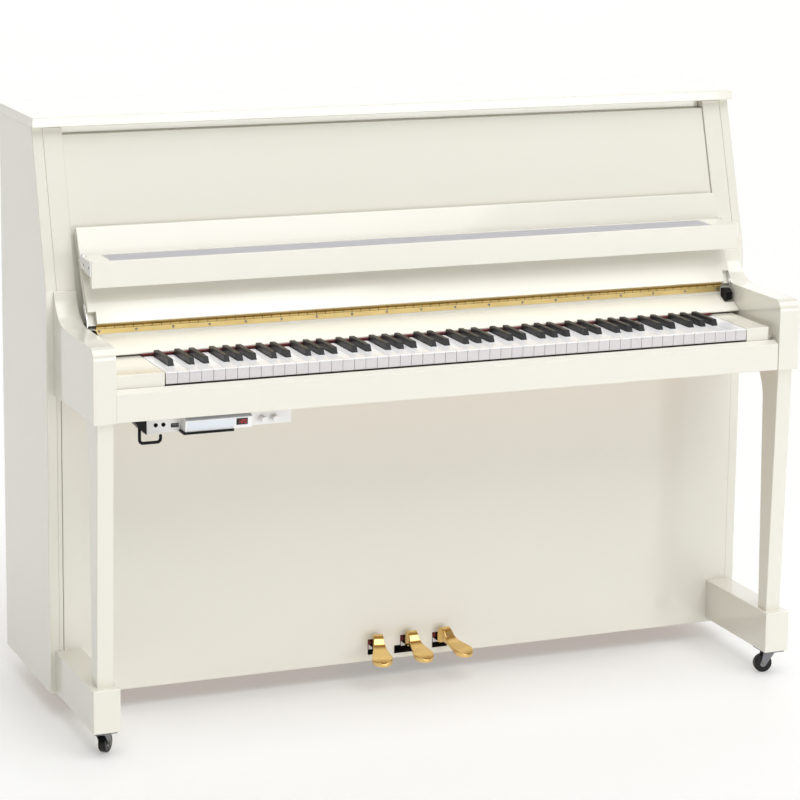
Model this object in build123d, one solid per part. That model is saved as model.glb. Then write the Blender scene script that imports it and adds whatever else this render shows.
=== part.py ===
from build123d import *
import math
import os

os.makedirs("parts", exist_ok=True)

# Upright piano. Millimetres. +X is the player's right, +Y the back, +Z up.
# The origin is under the middle of the overall box, on the floor.

# ------------------------------------------------------------ driving dimensions
WIDTH = 1520.0  # over the lid
DEPTH = 616.0  # arm fronts to the lid's back edge
HEIGHT = 1180.0  # floor to the lid's top

HALF_WIDTH = WIDTH / 2
FRONT_Y = -DEPTH / 2
BACK_Y = DEPTH / 2

EDGE_R = 1.6  # softened edge of a lacquered board
SMALL_R = 0.8

# lid
LID_T = 20.0
LID_FRONT_Y = 36.0
LID_Z = HEIGHT - LID_T
LID_REST_GAP = 0.5

# side panels, with a front edge that leans back above the arms
SIDE_X = 757.0
SIDE_T = 20.0
SIDE_IN_X = SIDE_X - SIDE_T
SIDE_FRONT_Y = -39.0
SIDE_BACK_Y = 298.0
SIDE_Z = 50.0
SIDE_TOP_Z = LID_Z - LID_REST_GAP
SLANT_Z = 854.0
SLANT_TOP_Y = 53.0
SLANT = (SLANT_TOP_Y - SIDE_FRONT_Y) / (LID_Z - SLANT_Z)

# pilasters beside the upper panel, stiles beside the lower one
PILASTER_IN_X = 697.0
PILASTER_OUT_X = 735.0
PILASTER_DEPTH = 42.0
GROOVE_DEPTH = 2.0
STILE_IN_X = 729.0
STILE_DEPTH = 30.0

# arms, legs and toe blocks
ARM_OUT_X = 742.0
ARM_IN_X = 697.0
ARM_Z = 650.0
ARM_TOP_Z = 794.0
ARM_NOSE_R = 22.0
ARM_SWEEP_R = 72.0
ARM_SWEEP_Y = -114.0
LEG_IN_X = 701.0
LEG_OUT_X = 733.0
TOE_IN_X = 692.0
TOE_OUT_X = 745.5
TOE_FRONT_Y = -303.0
TOE_Z = 51.0
TOE_TOP_Z = 136.0

# front panels
UPPER_PANEL_X = 696.5
UPPER_PANEL_Z = (790.0, 1143.0)
UPPER_PANEL_INSET = 4.0
PANEL_T = 18.0
FLOOR_BOARD_Z = 62.0
LOWER_PANEL_X = 728.6
LOWER_PANEL_FRONT_Y = -42.0
LOWER_PANEL_Z = (42.0, 649.0)

# keyboard
WHITE_PITCH = 23.6
WHITE_KEYS = 52
KEY_GAP = 0.9
KEY_CENTRE_X = 17.5
KEY_LEFT_X = KEY_CENTRE_X - WHITE_KEYS * WHITE_PITCH / 2
KEY_RIGHT_X = KEY_CENTRE_X + WHITE_KEYS * WHITE_PITCH / 2
KEY_FRONT_Y = -288.0
KEY_TOP_Z = 737.0
KEY_TOP_T = 2.4
KEY_BOTTOM_Z = 714.0
KEY_VISIBLE_Y = -143.5
KEY_TAIL_Y = 95.0
STICK_TOP_Z = 734.0
BLACK_FRONT_Y = -238.0
BLACK_TOP_Z = 749.0
BLACK_W = 10.6
BLACK_SLOT_W = 13.2
PIVOT_Y = -73.0
PIVOT_Z = 712.0
BEAD_R = 2.8  # round bead on the balance rail that the keys rock on
BEAD_GAP = 0.3

# keybed, key slip and key blocks
KEYBED_Z = (655.0, 690.0)
KEYBED_Y = (-286.0, 160.0)
SLIP_FRONT_Y = -306.0
SLIP_BACK_Y = -290.0
SLIP_Z = 651.0
SLIP_FRONT_TOP_Z = 705.0
SLIP_BACK_TOP_Z = 711.5
BLOCK_TOP_Z = 737.5
BLOCK_STEP = 14.0

# fallboard, on a full-width hinge along its outer back corner
HINGE_Y = -94.4
HINGE_Z = 789.0
OPEN_ANGLE = 117.0
FALL_X = 691.5
FALL_LENGTH = 194.0
FALL_T = 18.0
RECESS_Z = 785.5  # depth of the damper recess, on the closed fallboard
KNUCKLE_R = 3.2
PIN_R = 1.5
PIN_BORE_R = 1.56
LEAF_T = 1.2
LEAF_DEPTH = 13.0
KNUCKLE_PITCH = 18.75
KNUCKLES = 72
KNUCKLE_GAP = 0.4
DAMPER_X = (676.5, 691.0)
RAIL_FRONT_Y = HINGE_Y + KNUCKLE_R
FALL_BACK_Y = HINGE_Y - KNUCKLE_R

# music ledge, which stays level while the fallboard turns
LEDGE_X = 691.5
LEDGE_FRONT_Y = -129.0
LEDGE_TOP_Z = 924.0
LEDGE_T = 13.5
LIP_T = 13.0
LIP_DROP = 51.5
LEDGE_RECESS = ((-653.0, 632.0), (-127.0, -63.0))  # X and Y of the mat's shallow recess
MAT_GAP = 0.5
LEDGE_PIVOT_Y = -54.3
LEDGE_PIVOT_Z = 919.4
LEDGE_BACK_R = 4.6
BRACKET_T = 2.0

# strung back
POST_Y = (238.0, SIDE_BACK_Y)
POST_W = 90.0
SOUNDBOARD_Y = (214.0, 223.0)
PLATE_Y = (190.0, 204.0)
PLATE_Z = (95.0, 1125.0)
PINBLOCK_Z = (1010.0, 1120.0)
TREBLE_STRING_Y = 182.0
BASS_STRING_Y = 172.0
NOTES = 88
BASS_NOTES = 28

# pedals
PEDAL_SPACING = 71.5
PEDAL_SPLAY = (-13.0, 2.0, 16.0)  # degrees from straight ahead, left to right
PEDAL_PIVOT_Y = 130.0
PEDAL_PIVOT_Z = 74.0
PEDAL_TIP_Y = -142.0
PEDAL_HEEL_Y = -52.0
PEDAL_RIM_R = 1.5
PEDAL_BORE_R = 4.06

# casters
CASTER_Y = -270.0
CASTER_X = 719.0
WHEEL_R = 19.0
WHEEL_W = 15.0
CASTER_TRAIL = 13.0
AXLE_R = 3.0
AXLE_BORE_R = 3.06
STEM_R = 5.0
STEM_BORE_R = 5.06
REAR_CASTER_X = 640.0
REAR_CASTER_Y = 268.0

# control unit under the keybed
UNIT_X = (-660.0, -341.0)
UNIT_FACE_Y = -272.0
UNIT_Z = (618.0, 650.0)
SCREEN_X = (-562.0, -430.0)
KNOB_X = (-399.5, -376.0)
KNOB_Z = 630.0
KNOB_R = 6.2
KNOB_SHAFT_R = 2.0
KNOB_BORE_R = 2.06

written = []


# ------------------------------------------------------------ helpers
def save(node, *solids):
    """Writes one named node, a single solid or a group of separate ones."""
    shape = solids[0] if len(solids) == 1 else Compound(children=list(solids))
    export_step(shape, f"parts/{node}.step")
    written.append(node)


def block(x, y, z):
    """A box between two values on each axis."""
    size = [abs(span[1] - span[0]) for span in (x, y, z)]
    centre = [(span[0] + span[1]) / 2 for span in (x, y, z)]
    return Pos(*centre) * Box(*size)


def side_prism(outline, x):
    """A side view (Y, Z), as points or as edges, drawn out between two X values."""
    if isinstance(outline[0], tuple):
        outline = [Polyline(*outline, close=True)]
    face = Plane.YZ * make_face(Curve() + outline)
    return Pos(x[0], 0, 0) * extrude(face, amount=x[1] - x[0], dir=(1, 0, 0))


def plan_prism(points, z):
    """A plan (X, Y) drawn up between two Z values; a point met twice in a row counts once."""
    corners = [p for i, p in enumerate(points) if math.dist(p, points[i - 1]) > 1e-6]
    face = make_face(Curve() + [Polyline(*corners, close=True)])
    return Pos(0, 0, z[0]) * extrude(face, amount=z[1] - z[0], dir=(0, 0, 1))


def front_prism(points, y):
    """A front view (X, Z) drawn back between two Y values."""
    corners = [(px, y[0], pz) for px, pz in points]
    face = make_face(Curve() + [Polyline(*corners, close=True)])
    return extrude(face, amount=y[1] - y[0], dir=(0, 1, 0))


def rod_x(x, y, z, r):
    return Pos((x[0] + x[1]) / 2, y, z) * Rot(0, 90, 0) * Cylinder(r, x[1] - x[0])


def rod_y(x, y, z, r):
    return Pos(x, (y[0] + y[1]) / 2, z) * Rot(90, 0, 0) * Cylinder(r, y[1] - y[0])


def rod_z(x, y, z, r):
    return Pos(x, y, (z[0] + z[1]) / 2) * Cylinder(r, z[1] - z[0])


def rod_between(start, end, r):
    line = Line(start, end)
    return sweep(Plane(origin=start, z_dir=line % 0) * Circle(r), path=line)


def softened(shape, r=EDGE_R):
    return fillet(shape.edges(), r)


def mirrored(shape):
    return mirror(shape, about=Plane.YZ)


def slant_y(z):
    """Y of the leaning front line of the case at a height."""
    return SIDE_FRONT_Y + max(z - SLANT_Z, 0) * SLANT


def spread(count, low, high):
    """Evenly spaced values from low to high."""
    return [low + (high - low) * i / (count - 1) for i in range(count)]


def from_closed(shape):
    """Turns a piece drawn on the closed fallboard back to its open place."""
    return Pos(0, HINGE_Y, HINGE_Z) * Rot(-OPEN_ANGLE, 0, 0) * Pos(0, -HINGE_Y, -HINGE_Z) * shape


# ------------------------------------------------------------ case
def side_panel():
    outline = [
        (SIDE_FRONT_Y, SIDE_Z),
        (SIDE_BACK_Y, SIDE_Z),
        (SIDE_BACK_Y, SIDE_TOP_Z),
        (slant_y(SIDE_TOP_Z), SIDE_TOP_Z),
        (SIDE_FRONT_Y, SLANT_Z),
    ]
    return softened(side_prism(outline, (SIDE_IN_X, SIDE_X)))


def pilaster():
    """The upper pilaster, set off from the side panel by a shallow groove."""

    def strip(inset, x):
        low, high = ARM_Z, SIDE_TOP_Z - 2
        outline = [
            (SIDE_FRONT_Y + inset, low),
            (SIDE_FRONT_Y + PILASTER_DEPTH, low),
            (SIDE_FRONT_Y + PILASTER_DEPTH, SLANT_Z),
            (slant_y(high) + PILASTER_DEPTH, high),
            (slant_y(high) + inset, high),
            (SIDE_FRONT_Y + inset, SLANT_Z),
        ]
        return side_prism(outline, x)

    body = softened(strip(0, (PILASTER_IN_X, PILASTER_OUT_X)), SMALL_R)
    return body + strip(GROOVE_DEPTH, (PILASTER_OUT_X - 2, SIDE_IN_X))


def head_rail():
    """The rail behind the upper panel's top edge, in the gap under the lid."""
    y = slant_y(UPPER_PANEL_Z[1]) + UPPER_PANEL_INSET + PANEL_T + 0.6
    return softened(block((-UPPER_PANEL_X, UPPER_PANEL_X), (y, y + PANEL_T), (1112, LID_Z - 1)), SMALL_R)


def stile():
    y = (SIDE_FRONT_Y, SIDE_FRONT_Y + STILE_DEPTH)
    return softened(block((STILE_IN_X, SIDE_IN_X), y, (SIDE_Z, ARM_Z - 1)), SMALL_R)


def arm():
    """A cheek arm: flat top, rounded nose and a concave sweep up to the case."""
    nose = ARM_NOSE_R * (1 - math.sqrt(0.5))
    top_y = ARM_SWEEP_Y + math.sqrt(ARM_SWEEP_R**2 - (ARM_TOP_Z + ARM_SWEEP_R - SLANT_Z) ** 2)
    half = math.atan2(SLANT_Z - ARM_TOP_Z - ARM_SWEEP_R, top_y - ARM_SWEEP_Y) / 2 - math.pi / 4
    sweep_mid = (
        ARM_SWEEP_Y + ARM_SWEEP_R * math.cos(half),
        ARM_TOP_Z + ARM_SWEEP_R + ARM_SWEEP_R * math.sin(half),
    )
    nose_top = (FRONT_Y + ARM_NOSE_R, ARM_TOP_Z)
    nose_mid = (FRONT_Y + nose, ARM_TOP_Z - nose)
    nose_low = (FRONT_Y, ARM_TOP_Z - ARM_NOSE_R)
    edges = [
        Line((SIDE_FRONT_Y, ARM_Z), (FRONT_Y, ARM_Z)),
        Line((FRONT_Y, ARM_Z), nose_low),
        ThreePointArc(nose_low, nose_mid, nose_top),
        Line(nose_top, (ARM_SWEEP_Y, ARM_TOP_Z)),
        ThreePointArc((ARM_SWEEP_Y, ARM_TOP_Z), sweep_mid, (top_y, SLANT_Z)),
        Line((top_y, SLANT_Z), (SIDE_FRONT_Y, SLANT_Z)),
        Line((SIDE_FRONT_Y, SLANT_Z), (SIDE_FRONT_Y, ARM_Z)),
    ]
    solid = side_prism(edges, (ARM_IN_X, ARM_OUT_X))
    outer = [e for e in solid.edges() if abs(e.center().Y - SIDE_FRONT_Y) > 0.5]
    return fillet(outer, 1.2)


def leg():
    """A leg that tapers down to the toe block and flares under the arm."""
    flare_low = (-240.0, 570.0)
    flare_mid = (-232.0, 612.0)
    flare_top = (-204.0, ARM_Z)
    edges = [
        Line((-301.0, ARM_Z), (-285.0, TOE_TOP_Z)),
        Line((-285.0, TOE_TOP_Z), (-251.0, TOE_TOP_Z)),
        Line((-251.0, TOE_TOP_Z), flare_low),
        ThreePointArc(flare_low, flare_mid, flare_top),
        Line(flare_top, (-301.0, ARM_Z)),
    ]
    solid = side_prism(edges, (LEG_IN_X, LEG_OUT_X))
    upright = [e for e in solid.edges() if TOE_TOP_Z + 1 < e.center().Z < ARM_Z - 1]
    return fillet(upright, EDGE_R)


def toe_block():
    """The long foot of a leg, which meets the side panel and the lower panel."""
    z = (TOE_Z, TOE_TOP_Z)
    solid = block((TOE_IN_X, TOE_OUT_X), (TOE_FRONT_Y, LOWER_PANEL_FRONT_Y), z)
    front = [e for e in solid.edges() if e.center().Y < LOWER_PANEL_FRONT_Y - 1]
    return fillet(front, EDGE_R) + block((STILE_IN_X, TOE_OUT_X), (-60, SIDE_FRONT_Y), z)


def upper_front_panel():
    low, high = UPPER_PANEL_Z
    base_y = SIDE_FRONT_Y + UPPER_PANEL_INSET

    def at(z, back):
        return (base_y + (z - SLANT_Z) * SLANT + back, z)

    outline = [at(low, 0), at(high, 0), at(high, PANEL_T), at(low, PANEL_T)]
    return softened(side_prism(outline, (-UPPER_PANEL_X, UPPER_PANEL_X)))


def lower_front_panel():
    y = (LOWER_PANEL_FRONT_Y, LOWER_PANEL_FRONT_Y + PANEL_T)
    panel = softened(block((-LOWER_PANEL_X, LOWER_PANEL_X), y, LOWER_PANEL_Z))
    through = (y[0] - 5, y[1] + 5)
    for side in (-1, 1):
        x = side * PEDAL_SPACING
        panel -= block((x - 17, x + 17), through, (55, 88))
    panel -= block((-17, 17), through, (52, 90))
    panel -= block((-30, -16), through, (52, 69))
    return panel


def bottom_board():
    """The floor of the case, notched where the pedals dip."""
    board = block((-SIDE_IN_X + 0.5, SIDE_IN_X - 0.5), (-8, 237.5), (TOE_Z, FLOOR_BOARD_Z))
    return board - block((-105, 105), (-20, 78), (TOE_Z - 5, FLOOR_BOARD_Z + 5))


def back_frame():
    """Five posts between a top and a bottom beam."""
    frame = block((-SIDE_IN_X + 0.5, SIDE_IN_X - 0.5), POST_Y, (TOE_Z, 141))
    frame += block((-SIDE_IN_X + 0.5, SIDE_IN_X - 0.5), POST_Y, (1040, SIDE_TOP_Z - 4))
    outer_x = SIDE_IN_X - 0.5 - POST_W / 2
    for x in spread(5, -outer_x, outer_x):
        frame += block((x - POST_W / 2, x + POST_W / 2), POST_Y, (130, 1050))
    return frame


save("side_panel_left", mirrored(side_panel()))
save("side_panel_right", side_panel())
save("pilasters", pilaster(), mirrored(pilaster()), stile(), mirrored(stile()), head_rail())
save("arm_left", mirrored(arm()))
save("arm_right", arm())
save("legs", leg(), mirrored(leg()))
save("toe_blocks", toe_block(), mirrored(toe_block()))
save("upper_front_panel", upper_front_panel())
save("lower_front_panel", lower_front_panel())
save("bottom_board", bottom_board())
save("back_frame", back_frame())


# ------------------------------------------------------------ keyboard support
def key_slip():
    outline = [
        (SLIP_FRONT_Y, SLIP_Z),
        (SLIP_BACK_Y, SLIP_Z),
        (SLIP_BACK_Y, SLIP_BACK_TOP_Z),
        (SLIP_FRONT_Y, SLIP_FRONT_TOP_Z),
    ]
    x = ARM_IN_X - 0.5
    return softened(side_prism(outline, (-x, x)), SMALL_R)


def key_block(x_inner, x_outer):
    y = (KEY_FRONT_Y, -106.0)
    return softened(block(sorted((x_inner, x_outer)), y, (KEYBED_Z[1], BLOCK_TOP_Z)), SMALL_R)


def stepped_key_block(x_inner, x_outer):
    """A narrower block with a lower step against the arm."""
    step = x_outer - BLOCK_STEP
    y = (KEY_FRONT_Y + 12, -106.0)
    return key_block(x_inner, step) + block((step, x_outer), y, (KEYBED_Z[1], 716))


def hinge_rail():
    """The fixed board behind the keys that carries the fallboard hinge."""
    outline = [
        (RAIL_FRONT_Y, 786.0),
        (RAIL_FRONT_Y, 769.0),
        (-137.5, 744.5),
        (-137.5, 741.5),
        (-120.0, 741.5),
        (-76.0, 764.0),
        (-40.0, 772.0),
        (-40.0, 786.0),
    ]
    solid = side_prism(outline, (-ARM_IN_X + 0.5, ARM_IN_X - 0.5))
    solid = fillet(solid.edges().filter_by(Axis.X), SMALL_R)
    for side in (-1, 1):
        x = sorted((side * (DAMPER_X[0] - 0.8), side * 700))
        solid -= block(x, (-145, -93), (757, 790))
    return solid


def key_frame():
    """Front, balance and back rails with their cross strips."""
    x = (KEY_LEFT_X + 2, KEY_RIGHT_X - 2)
    base = KEYBED_Z[1]
    frame = block(x, (-280, -235), (base, 701))
    frame += block(x, (PIVOT_Y - 22, PIVOT_Y + 22), (base, PIVOT_Z - 1.5))
    frame += rod_x(x, PIVOT_Y, PIVOT_Z, BEAD_R)
    frame += block(x, (55, 100), (base, 707))
    for strip_x in spread(5, x[0] + 20, x[1] - 20):
        frame += block((strip_x - 20, strip_x + 20), (-240, 60), (base, 698))
    return frame


save("keybed", softened(block((-ARM_IN_X + 0.5, ARM_IN_X - 0.5), KEYBED_Y, KEYBED_Z), SMALL_R))
save("key_slip", key_slip())
save(
    "key_blocks",
    key_block(KEY_LEFT_X - 1.5, -ARM_IN_X + 0.5),
    stepped_key_block(KEY_RIGHT_X + 1.5, ARM_IN_X - 0.5),
)
save("hinge_rail", hinge_rail())
save("key_felt", block((KEY_LEFT_X, KEY_RIGHT_X), (-139.5, -122), (738.6, 741.4)))
save("key_frame", key_frame())


# ------------------------------------------------------------ keys
NATURALS = "CDEFGAB"
# black key centres, from the left edge of C, in white-key pitches
SHARPS = {"C_sharp": 0.89, "D_sharp": 2.11, "F_sharp": 3.85, "G_sharp": 5.0, "A_sharp": 6.15}
FIRST_OCTAVE_X = KEY_LEFT_X - 5 * WHITE_PITCH  # left edge of the C below the lowest A


def white_outline(left, slots):
    """Plan of a white key, notched beside each black key that it touches."""
    low, high = left + KEY_GAP / 2, left + WHITE_PITCH - KEY_GAP / 2
    tail_low, tail_high = low, high
    for centre in slots:
        if centre < left + WHITE_PITCH / 2:
            tail_low = max(tail_low, centre + BLACK_SLOT_W / 2)
        else:
            tail_high = min(tail_high, centre - BLACK_SLOT_W / 2)
    return low, high, tail_low, tail_high


def white_key(left, slots):
    low, high, tail_low, tail_high = white_outline(left, slots)
    notch_y = BLACK_FRONT_Y - 1.5
    plan = [(low, KEY_FRONT_Y), (high, KEY_FRONT_Y), (high, notch_y), (tail_high, notch_y)]
    back = [(tail_low, notch_y), (low, notch_y)]
    shown = plan + [(tail_high, KEY_VISIBLE_Y), (tail_low, KEY_VISIBLE_Y)] + back
    whole = plan + [(tail_high, KEY_TAIL_Y), (tail_low, KEY_TAIL_Y)] + back
    top = plan_prism(shown, (KEY_TOP_Z - KEY_TOP_T, KEY_TOP_Z))
    top += block((low, high), (KEY_FRONT_Y - 1, KEY_FRONT_Y + 5), (KEY_TOP_Z - KEY_TOP_T, KEY_TOP_Z))
    ridge = [e for e in top.edges() if e.center().Z > KEY_TOP_Z - 0.1]
    stick = plan_prism(whole, (KEY_BOTTOM_Z, STICK_TOP_Z))
    joined = block((low + 0.4, high - 0.4), (KEY_FRONT_Y + 0.6, notch_y), (730, 735.5))
    tail_joined = block((tail_low + 0.4, tail_high - 0.4), (notch_y, KEY_VISIBLE_Y - 1), (730, 735.5))
    groove = rod_x((low - 1, high + 1), PIVOT_Y, PIVOT_Z, BEAD_R + BEAD_GAP)
    return fillet(ridge, 0.6) + stick + joined + tail_joined - groove


def black_key(centre):
    half = BLACK_W / 2
    cap_side = [
        (BLACK_FRONT_Y, 736.0),
        (BLACK_FRONT_Y + 7.5, BLACK_TOP_Z),
        (KEY_VISIBLE_Y, BLACK_TOP_Z),
        (KEY_VISIBLE_Y, 728.0),
        (BLACK_FRONT_Y, 728.0),
    ]
    cap = side_prism(cap_side, (centre - half, centre + half))
    crest = [e for e in cap.edges() if e.center().Z > BLACK_TOP_Z - 0.1]
    cap = fillet(crest, 1.5)
    stick = block((centre - half, centre + half), (BLACK_FRONT_Y, KEY_TAIL_Y), (KEY_BOTTOM_Z, STICK_TOP_Z))
    groove = rod_x((centre - half - 1, centre + half + 1), PIVOT_Y, PIVOT_Z, BEAD_R + BEAD_GAP)
    return cap + stick - groove


def keyboard():
    """All keys, gathered by note name."""
    groups = {name: [] for name in list(NATURALS) + list(SHARPS)}
    for octave in range(9):
        octave_x = FIRST_OCTAVE_X + octave * 7 * WHITE_PITCH
        blacks = {name: octave_x + at * WHITE_PITCH for name, at in SHARPS.items()}
        inside = {
            name: x for name, x in blacks.items() if KEY_LEFT_X < x < KEY_RIGHT_X - WHITE_PITCH
        }
        for i, name in enumerate(NATURALS):
            left = octave_x + i * WHITE_PITCH
            if not KEY_LEFT_X - 1 < left < KEY_RIGHT_X - 1:
                continue
            near = [x for x in inside.values() if left - 8 < x < left + WHITE_PITCH + 8]
            groups[name].append(white_key(left, near))
        for name, x in inside.items():
            groups[name].append(black_key(x))
    return groups


for note, solids in keyboard().items():
    save(f"keys_{note.lower()}", *solids)


# ------------------------------------------------------------ fallboard and music ledge
def knuckles(first, r):
    """Every second knuckle along the hinge, starting with the given one."""
    start = -KNUCKLES * KNUCKLE_PITCH / 2
    rods = []
    for i in range(first, KNUCKLES, 2):
        x = start + i * KNUCKLE_PITCH
        rods.append(rod_x((x, x + KNUCKLE_PITCH - KNUCKLE_GAP), HINGE_Y, HINGE_Z, r))
    return rods


HINGE_X = (-KNUCKLES * KNUCKLE_PITCH / 2, KNUCKLES * KNUCKLE_PITCH / 2)


def knuckle_reliefs(first):
    """Room for the other leaf's knuckles, a little larger than they are."""
    start = -KNUCKLES * KNUCKLE_PITCH / 2
    reliefs = []
    for i in range(first, KNUCKLES, 2):
        x = start + i * KNUCKLE_PITCH
        span = (x - KNUCKLE_GAP, x + KNUCKLE_PITCH)
        reliefs.append(rod_x(span, HINGE_Y, HINGE_Z, KNUCKLE_R + 0.4))
    return reliefs


def fixed_leaf():
    leaf = block(HINGE_X, (RAIL_FRONT_Y - LEAF_T, RAIL_FRONT_Y), (HINGE_Z - LEAF_DEPTH, HINGE_Z))
    leaf = leaf - knuckle_reliefs(1)
    return leaf + knuckles(0, KNUCKLE_R) + rod_x(HINGE_X, HINGE_Y, HINGE_Z, PIN_R)


def moving_leaf():
    leaf = block(HINGE_X, (FALL_BACK_Y, FALL_BACK_Y + LEAF_T), (HINGE_Z - LEAF_DEPTH, HINGE_Z))
    leaf = leaf - knuckle_reliefs(0)
    leaf = leaf + knuckles(1, KNUCKLE_R)
    bore = rod_x((HINGE_X[0] - 5, HINGE_X[1] + 5), HINGE_Y, HINGE_Z, PIN_BORE_R)
    return from_closed(leaf - bore)


def fallboard():
    front = FALL_BACK_Y - FALL_LENGTH
    board = block((-FALL_X, FALL_X), (front, FALL_BACK_Y), (HINGE_Z - FALL_T, HINGE_Z))
    board = softened(board)
    for side in (-1, 1):
        x = sorted((side * (FALL_X + 5), side * (DAMPER_X[0] - 1.5)))
        board -= block(x, (FALL_BACK_Y - 24, FALL_BACK_Y + 5), (HINGE_Z - FALL_T - 5, RECESS_Z))
    return from_closed(board)


def damper_body():
    """A soft-close damper on the end of the hinge rail."""
    outline = [(-93, 784), (-93, 764), (-104, 758), (-116, 764), (-116, 778), (-108, 784)]
    body = side_prism(outline, DAMPER_X)
    return fillet(body.edges().filter_by(Axis.X), 1.2)


def damper_arm():
    """The chrome plate that ties the fallboard to its damper."""
    plate = [
        (HINGE_Y + 0.5, HINGE_Z - 6),
        (HINGE_Y + 0.5, HINGE_Z),
        (HINGE_Y - 46, HINGE_Z),
        (HINGE_Y - 46, HINGE_Z - 12),
        (HINGE_Y - 12, HINGE_Z - 12),
    ]
    return from_closed(side_prism(plate, (FALL_X + 0.1, FALL_X + 1.7)))


def ledge_lug():
    """A lug and pin on the fallboard's inner face that carries the ledge."""
    lean = math.radians(OPEN_ANGLE - 90)
    inner = (-math.cos(lean), math.sin(lean))
    along = (math.sin(lean), math.cos(lean))
    reach = (LEDGE_PIVOT_Y - HINGE_Y) * inner[0] + (LEDGE_PIVOT_Z - HINGE_Z) * inner[1]
    gap = reach - FALL_T - 0.02

    def at(out, up):
        return (
            LEDGE_PIVOT_Y + inner[0] * (out - gap) + along[0] * up,
            LEDGE_PIVOT_Z + inner[1] * (out - gap) + along[1] * up,
        )

    outline = [at(0, -9), at(0, 9), at(8, 4), at(8, -4)]
    lug = side_prism(outline, (683.5, 687.5))
    return lug + rod_x((683.5, LEDGE_X + BRACKET_T + 0.8), LEDGE_PIVOT_Y, LEDGE_PIVOT_Z, 2.5)


def music_ledge():
    """A level shelf with a deep front lip and a rounded back edge at its pivot."""
    front, top = LEDGE_FRONT_Y, LEDGE_TOP_Z
    outline = [
        (front, top),
        (LEDGE_PIVOT_Y, top),
        (LEDGE_PIVOT_Y, LEDGE_PIVOT_Z - LEDGE_BACK_R),
        (LEDGE_PIVOT_Y - 6, top - LEDGE_T),
        (front + LIP_T, top - LEDGE_T),
        (front + LIP_T, top - LIP_DROP),
        (front, top - LIP_DROP),
    ]
    ledge = softened(side_prism(outline, (-LEDGE_X, LEDGE_X)), SMALL_R)
    ledge += rod_x((-LEDGE_X, LEDGE_X), LEDGE_PIVOT_Y, LEDGE_PIVOT_Z, LEDGE_BACK_R)
    for side in (-1, 1):
        x = sorted((side * 682.8, side * (LEDGE_X + 1)))
        ledge -= block(x, (LEDGE_PIVOT_Y - 14, LEDGE_PIVOT_Y + 10), (top - 30, top + 5))
    recess = block(*LEDGE_RECESS, (top - 1.5, top + 5))
    return ledge - recess


def ledge_mat():
    x, y = [(low + MAT_GAP, high - MAT_GAP) for low, high in LEDGE_RECESS]
    return block(x, y, (LEDGE_TOP_Z - 1.5, LEDGE_TOP_Z - 0.1))


def ledge_bracket():
    """An end plate screwed to the ledge, with the pivot hole at its back."""
    outline = [
        (LEDGE_FRONT_Y + 2, LEDGE_TOP_Z - 0.5),
        (LEDGE_PIVOT_Y + 1, LEDGE_TOP_Z - 0.5),
        (LEDGE_PIVOT_Y + 4.4, LEDGE_PIVOT_Z + 1.5),
        (LEDGE_PIVOT_Y + 4.4, LEDGE_PIVOT_Z - 4),
        (LEDGE_PIVOT_Y - 10, LEDGE_TOP_Z - 22),
        (LEDGE_FRONT_Y + LIP_T, LEDGE_TOP_Z - 29),
        (LEDGE_FRONT_Y + 2, LEDGE_TOP_Z - 29),
    ]
    plate = side_prism(outline, (LEDGE_X + 0.1, LEDGE_X + 0.1 + BRACKET_T))
    hole = rod_x((LEDGE_X - 5, LEDGE_X + 8), LEDGE_PIVOT_Y, LEDGE_PIVOT_Z, 2.56)
    return plate - hole


save("fallboard_hinge_fixed", fixed_leaf())
save("fallboard_hinge_moving", moving_leaf())
save("fallboard", fallboard())
save("fallboard_dampers", damper_body(), mirrored(damper_body()))
save(
    "fallboard_fittings",
    damper_arm(),
    mirrored(damper_arm()),
    ledge_lug(),
    mirrored(ledge_lug()),
)
save("music_ledge", music_ledge())
save("ledge_mat", ledge_mat())
save("ledge_brackets", ledge_bracket(), mirrored(ledge_bracket()))


# ------------------------------------------------------------ lid
LID_HINGE_Y = 303.5
LID_HINGE_Z = LID_Z - 4.0


def lid():
    board = block((-HALF_WIDTH, HALF_WIDTH), (LID_FRONT_Y, BACK_Y), (LID_Z, HEIGHT))
    return softened(board, 2.0)


def lid_hinges():
    """Three butt hinges on the back beam, each a leaf with its pin."""
    hinges = []
    for x in spread(3, -560, 560):
        leaf = block((x - 40, x + 40), (SIDE_BACK_Y, SIDE_BACK_Y + 1.5), (1100, 1155))
        barrel = rod_x((x - 40, x - 14), LID_HINGE_Y, LID_HINGE_Z, 3.2)
        barrel += rod_x((x + 14, x + 40), LID_HINGE_Y, LID_HINGE_Z, 3.2)
        web = block((x - 40, x - 14), (SIDE_BACK_Y, LID_HINGE_Y), (1150, 1156))
        web += block((x + 14, x + 40), (SIDE_BACK_Y, LID_HINGE_Y), (1150, 1156))
        pin = rod_x((x - 40, x + 40), LID_HINGE_Y, LID_HINGE_Z, PIN_R)
        hinges.append(leaf + web + barrel + pin)
    return hinges


def lid_knuckles():
    """The lid's own leaves, each with one knuckle that turns on the pin."""
    leaves = []
    for x in spread(3, -560, 560):
        knuckle = rod_x((x - 13.6, x + 13.6), LID_HINGE_Y, LID_HINGE_Z, 3.2)
        web = block((x - 13.6, x + 13.6), (LID_HINGE_Y - 3.2, LID_HINGE_Y + 3.2), (LID_HINGE_Z, LID_Z))
        bore = rod_x((x - 20, x + 20), LID_HINGE_Y, LID_HINGE_Z, PIN_BORE_R)
        leaves.append(knuckle + web - bore)
    return leaves


save("lid", lid())
save("lid_hinges", *lid_hinges())
save("lid_knuckles", *lid_knuckles())


# ------------------------------------------------------------ strung back
def note_x(i):
    return KEY_LEFT_X + WHITE_KEYS * WHITE_PITCH * (i + 0.5) / NOTES


LONG_BRIDGE = [(-490, 300), (-250, 262), (0, 300), (250, 430), (480, 650), (660, 890)]
PLATE_BARS_X = (-315, 55, 395)
PLATE_BAR_W = 30.0


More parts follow.
